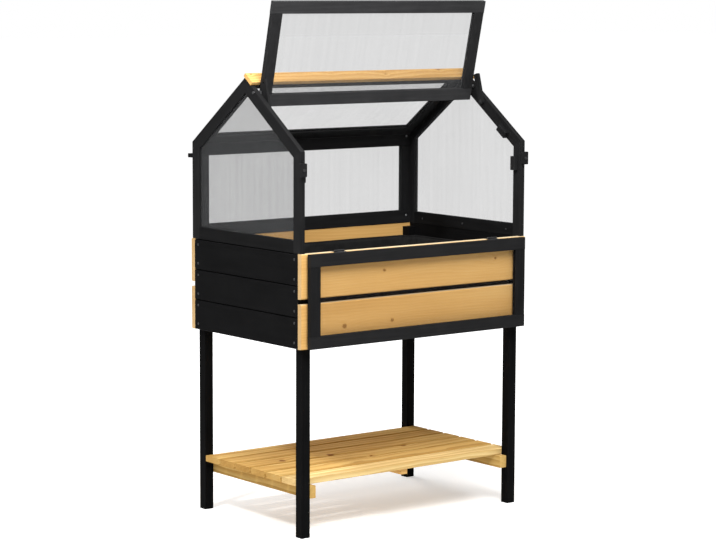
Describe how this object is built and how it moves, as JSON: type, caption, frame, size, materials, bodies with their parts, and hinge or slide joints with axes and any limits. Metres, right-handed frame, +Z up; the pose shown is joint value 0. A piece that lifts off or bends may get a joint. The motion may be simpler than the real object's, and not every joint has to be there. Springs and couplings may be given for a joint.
{
  "type": "raised bed with cold frame",
  "caption": "Raised garden bed on legs with a slatted shelf below and a gabled, glazed cold frame on top, whose roof lid and front flap open.",
  "frame": {"origin": "on the ground below the middle of the bed", "axes": "+X along the bed to the right, +Y to the back, +Z up"},
  "size_m": [0.942, 0.65, 1.6856],
  "materials": {
    "natural_pine": "planed, oiled pine",
    "black_wood": "black stain, faint grain",
    "twin_wall_sheet": "translucent ribbed sheet",
    "black_steel": "black coated",
    "zinc_steel": "zinc plated",
    "liner_fabric": "dark woven fleece"
  },
  "bodies": {
    "bed": {"arm_screws": "black_steel", "bed_liner": "liner_fabric", "button_screws": "black_steel", "flap_stop_blocks": "black_wood", "floor_battens": "natural_pine", "floor_boards": "natural_pine", "front_board_lower": "natural_pine", "front_board_upper": "natural_pine", "hinge_fixed_leaves": "black_steel", "hinge_pins": "zinc_steel", "left_end_board_1": "black_wood", "left_end_board_2": "black_wood", "left_end_board_3": "black_wood", "left_gable_bottom_rail": "black_wood", "left_gable_posts": "black_wood", "left_gable_rafters": "black_wood", "left_gable_sheet": "twin_wall_sheet", "leg_front_left": "black_wood", "leg_front_right": "black_wood", "leg_rear_left": "black_wood", "leg_rear_right": "black_wood", "lid_pivot_bolts": "zinc_steel", "lid_rest_blocks": "black_wood", "rear_board_lower": "natural_pine", "rear_board_upper": "natural_pine", "rear_panel_clips": "black_wood", "rear_roof_rails": "black_wood", "rear_roof_sheet": "twin_wall_sheet", "rear_roof_stiles": "black_wood", "rear_wall_rails": "black_wood", "rear_wall_sheet": "twin_wall_sheet", "rear_wall_stiles": "black_wood", "ridge_board": "natural_pine", "right_end_board_1": "black_wood", "right_end_board_2": "black_wood", "right_end_board_3": "black_wood", "right_gable_bottom_rail": "black_wood", "right_gable_posts": "black_wood", "right_gable_rafters": "black_wood", "right_gable_sheet": "twin_wall_sheet", "shelf_bearer_left": "natural_pine", "shelf_bearer_right": "natural_pine", "shelf_middle_batten": "natural_pine", "shelf_slat_1": "natural_pine", "shelf_slat_2": "natural_pine", "shelf_slat_3": "natural_pine", "shelf_slat_4": "natural_pine", "shelf_slat_5": "natural_pine", "shelf_slat_6": "natural_pine"},
    "front_flap": {"flap_hinge_leaves": "black_steel", "flap_rails": "black_wood", "flap_sheet": "twin_wall_sheet", "flap_stiles": "black_wood"},
    "roof_lid": {"lid_rails": "black_wood", "lid_sheet": "twin_wall_sheet", "lid_stiles": "black_wood"},
    "prop_arm_left": {"prop_arm_left": "black_wood"},
    "prop_arm_right": {"prop_arm_right": "black_wood"},
    "turn_button_left": {"turn_button_left": "black_wood"},
    "turn_button_right": {"turn_button_right": "black_wood"}
  },
  "joints": [
    {"name": "lid_pivot", "type": "hinge", "parent": "bed", "child": "roof_lid", "pos_m": [0, -0.04895, 1.39547], "axis": [1, 0, 0], "range_deg": [-10, 113.4]},
    {"name": "flap_hinge", "type": "hinge", "parent": "bed", "child": "front_flap", "pos_m": [0, -0.3035, 0.9085], "axis": [-1, 0, 0], "range_deg": [0, 180]},
    {"name": "prop_arm_left_pivot", "type": "hinge", "parent": "bed", "child": "prop_arm_left", "pos_m": [-0.44315, -0.09893, 1.34696], "axis": [1, 0, 0], "range_deg": [0, 141.8]},
    {"name": "prop_arm_right_pivot", "type": "hinge", "parent": "bed", "child": "prop_arm_right", "pos_m": [0.44315, -0.09893, 1.34696], "axis": [1, 0, 0], "range_deg": [0, 141.8]},
    {"name": "turn_button_left_pivot", "type": "hinge", "parent": "bed", "child": "turn_button_left", "pos_m": [-0.459, -0.3028, 1.166], "axis": [0, 1, 0], "range_deg": [-90, 90]},
    {"name": "turn_button_right_pivot", "type": "hinge", "parent": "bed", "child": "turn_button_right", "pos_m": [0.459, -0.3028, 1.166], "axis": [0, 1, 0], "range_deg": [-90, 90]}
  ]
}
